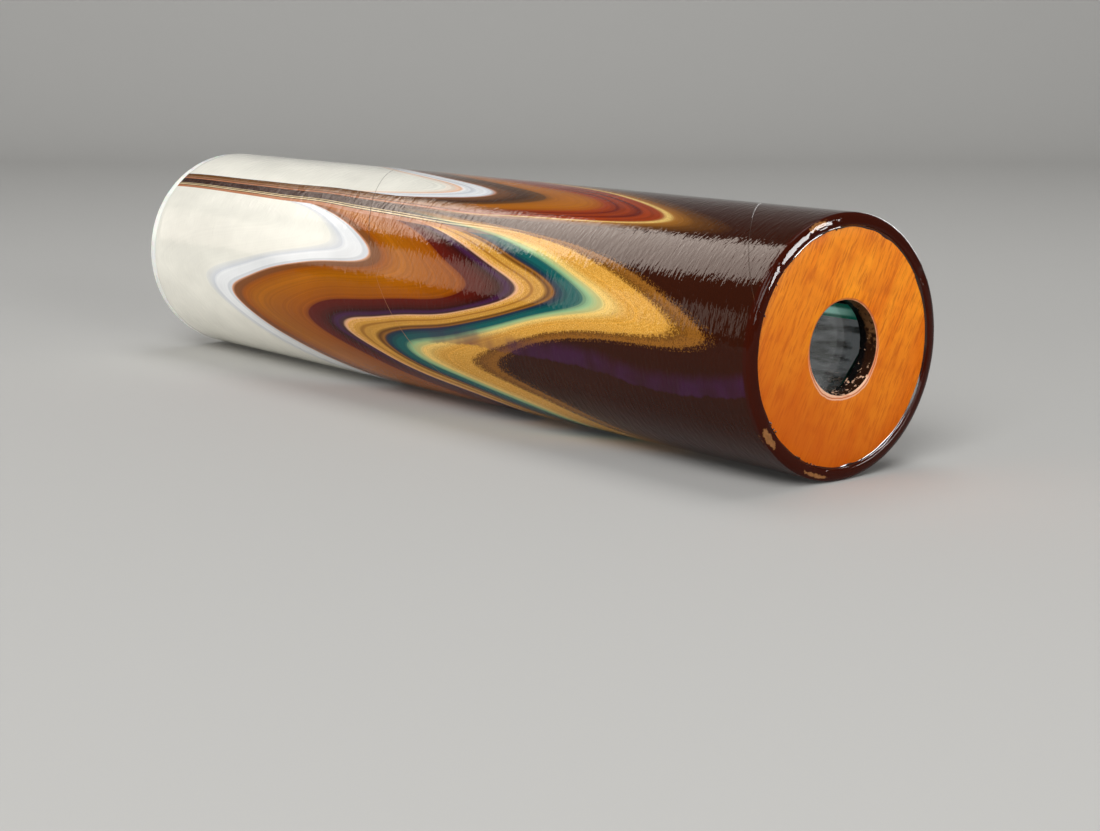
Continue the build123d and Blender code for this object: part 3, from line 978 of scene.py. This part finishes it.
sections = {node: stripSection(node) for node in ("mirror_top", "mirror_left", "mirror_right")}
prismMiddle = sum((middle for _, middle in sections.values()), Vector()) / 3
topCorners, topMiddle = sections["mirror_top"]
topLong = max((topCorners[k] - topCorners[k - 1] for k in range(4)), key=lambda side: side.length)
topOutward = Vector((0, -topLong.z, topLong.y)).normalized()
if topOutward.dot(topMiddle - prismMiddle) < 0:
    topOutward.negate()
topHeights = [corner.dot(topOutward) for corner in topCorners]
topThickness = max(topHeights) - min(topHeights)
stripFinishes = (
    makeMirrorEdge(topOutward, min(topHeights), topThickness),
    makeMirrorCoat(),
    makeCard("mirrorBackPaint", linear(92, 96, 98), linear(74, 78, 82), 400.0, 0.00001),
)
for nodeName in sections:
    makeMirrorStrip(nodeName, stripFinishes)
print("mirror strips cut")


# ---- stage, lights and camera

studio = {
    "floor": linear(190, 189, 186), "world": 0.17,
    # the paper, in metres from the scope: towards the camera, away from it, its sweep's radius and steps,
    # its top, and its half width
    "near": 1.6, "far": 0.9, "sweep": 0.35, "sweepSteps": 12, "rise": 2.2, "halfWidth": 2.4,
    "awayFromCamera": (-0.775, 0.632, 0.0),
    # each light: place, the way it faces, the way its width runs, width and height, power in watts
    "lights": {
        "keySoftbox": ((0.75, -0.95, 0.95), (-0.75, 0.95, -0.95), (0.95, 0.75, 0.0), (0.8, 0.8), 14.6),
        "overheadSoftbox": ((-0.1, 0.25, 1.3), (0.1, -0.25, -1.3), (1.0, 0.0, 0.0), (0.9, 0.6), 5.6),
        "mouthCard": ((1.2, -0.15, 0.32), (-1.0, 0.12, -0.24), (0.0, 1.0, 0.0), (0.4, 0.3), 4.4),
        "lowFill": ((-0.45, -1.0, 0.12), (0.40, 1.0, -0.1), (1.0, -0.4, 0.0), (0.7, 0.3), 4.5),
    },
    # the fill doesn't show in the gloss
    "unseenInGloss": ["lowFill"],
    # panels that only show in the gloss, on the same plan, and their tints
    "panels": {
        "sheenPanel": ((-0.6198, -0.1698, 0.6074), (0.444, 0.249, -0.854), (0.89, -0.11, 0.43),
                       (0.44, 0.46), 6.5),
        "sheenCard": ((-0.80, -0.56, 0.22), (0.75, 0.5, -0.2), (0.5, -0.75, 0.0), (0.5, 0.30), 1.4),
        "lipPanel": ((0.955, 0.50, 0.24), (-0.83, -0.5, -0.22), (0.5, -0.83, 0.0), (0.40, 0.34), 30.0),
        "rimPanel": ((-0.19, 0.78, 0.20), (0.35, -0.87, -0.20), (0.87, 0.35, 0.0), (0.38, 0.30), 2.4),
    },
    "tints": {"sheenPanel": (1.0, 0.88, 0.78), "sheenCard": (1.0, 0.86, 0.74)},
    # the camera's place in barrel radii, the way it looks, and its lens and sensor in mm
    "cameraAt": (14.56, -10.96, 2.34), "cameraFaces": (-0.765, 0.616, -0.189), "lens": 66.6, "sensor": 36.0,
}


def makeStage():
    made, tree, shader = newMaterial("stagePaper")
    shade(tree, shader, Base_Color=(*studio["floor"], 1), Roughness=0.8, Specular_IOR_Level=0.0)
    # a floor that sweeps up behind the scope as seen by the camera
    away = Vector(studio["awayFromCamera"]).normalized()
    side = Vector((-away.y, away.x, 0))
    far, sweep, steps = studio["far"], studio["sweep"], studio["sweepSteps"]
    rows = [(-studio["near"], 0.0), (far, 0.0)]
    for k in range(1, steps + 1):
        turn = math.radians(90 * k / steps)
        rows.append((far + sweep * math.sin(turn), sweep * (1 - math.cos(turn))))
    rows.append((far + sweep, studio["rise"]))
    low = cadBounds[0].z
    points = [away * out + side * hand + Vector((0, 0, low + up))
              for out, up in rows for hand in (-studio["halfWidth"], studio["halfWidth"])]
    faces = [(2 * k, 2 * k + 1, 2 * k + 3, 2 * k + 2) for k in range(len(rows) - 1)]
    mesh = bpy.data.meshes.new("stage_floor")
    mesh.from_pydata([tuple(p) for p in points], [], faces)
    mesh.materials.append(made)
    mesh.polygons.foreach_set("use_smooth", [True] * len(mesh.polygons))
    floor = bpy.data.objects.new("stage_floor", mesh)
    bpy.context.scene.collection.objects.link(floor)


def makeLights():
    world = bpy.data.worlds.new("studio")
    world.use_nodes = True
    background = world.node_tree.nodes["Background"]
    background.inputs[0].default_value = (1, 1, 1, 1)
    background.inputs[1].default_value = studio["world"]
    bpy.context.scene.world = world
    for name, values in {**studio["lights"], **studio["panels"]}.items():
        place, facing, along, size, power = values
        data = bpy.data.lights.new(name, "AREA")
        data.shape, data.size, data.size_y = "RECTANGLE", *size
        data.energy = power
        data.color = studio["tints"].get(name, (1, 1, 1))
        light = bpy.data.objects.new(name, data)
        back = -Vector(facing).normalized()
        height = back.cross(Vector(along)).normalized()
        turned = Matrix((height.cross(back), height, back)).transposed().to_4x4()
        light.matrix_world = Matrix.Translation(place) @ turned
        bpy.context.scene.collection.objects.link(light)
        light.visible_camera = False
        light.visible_glossy = name not in studio["unseenInGloss"]
        light.visible_diffuse = name not in studio["panels"]


def makeCamera():
    data = bpy.data.cameras.new("camera")
    data.lens, data.sensor_width = studio["lens"], studio["sensor"]
    camera = bpy.data.objects.new("camera", data)
    camera.location = Vector(studio["cameraAt"]) * barrelRadius
    camera.rotation_euler = Vector(studio["cameraFaces"]).to_track_quat("-Z", "Y").to_euler()
    bpy.context.scene.collection.objects.link(camera)
    bpy.context.scene.camera = camera


makeStage()
makeLights()
makeCamera()
bpy.context.scene.view_settings.view_transform = "Standard"
print("stage, lights and camera set")
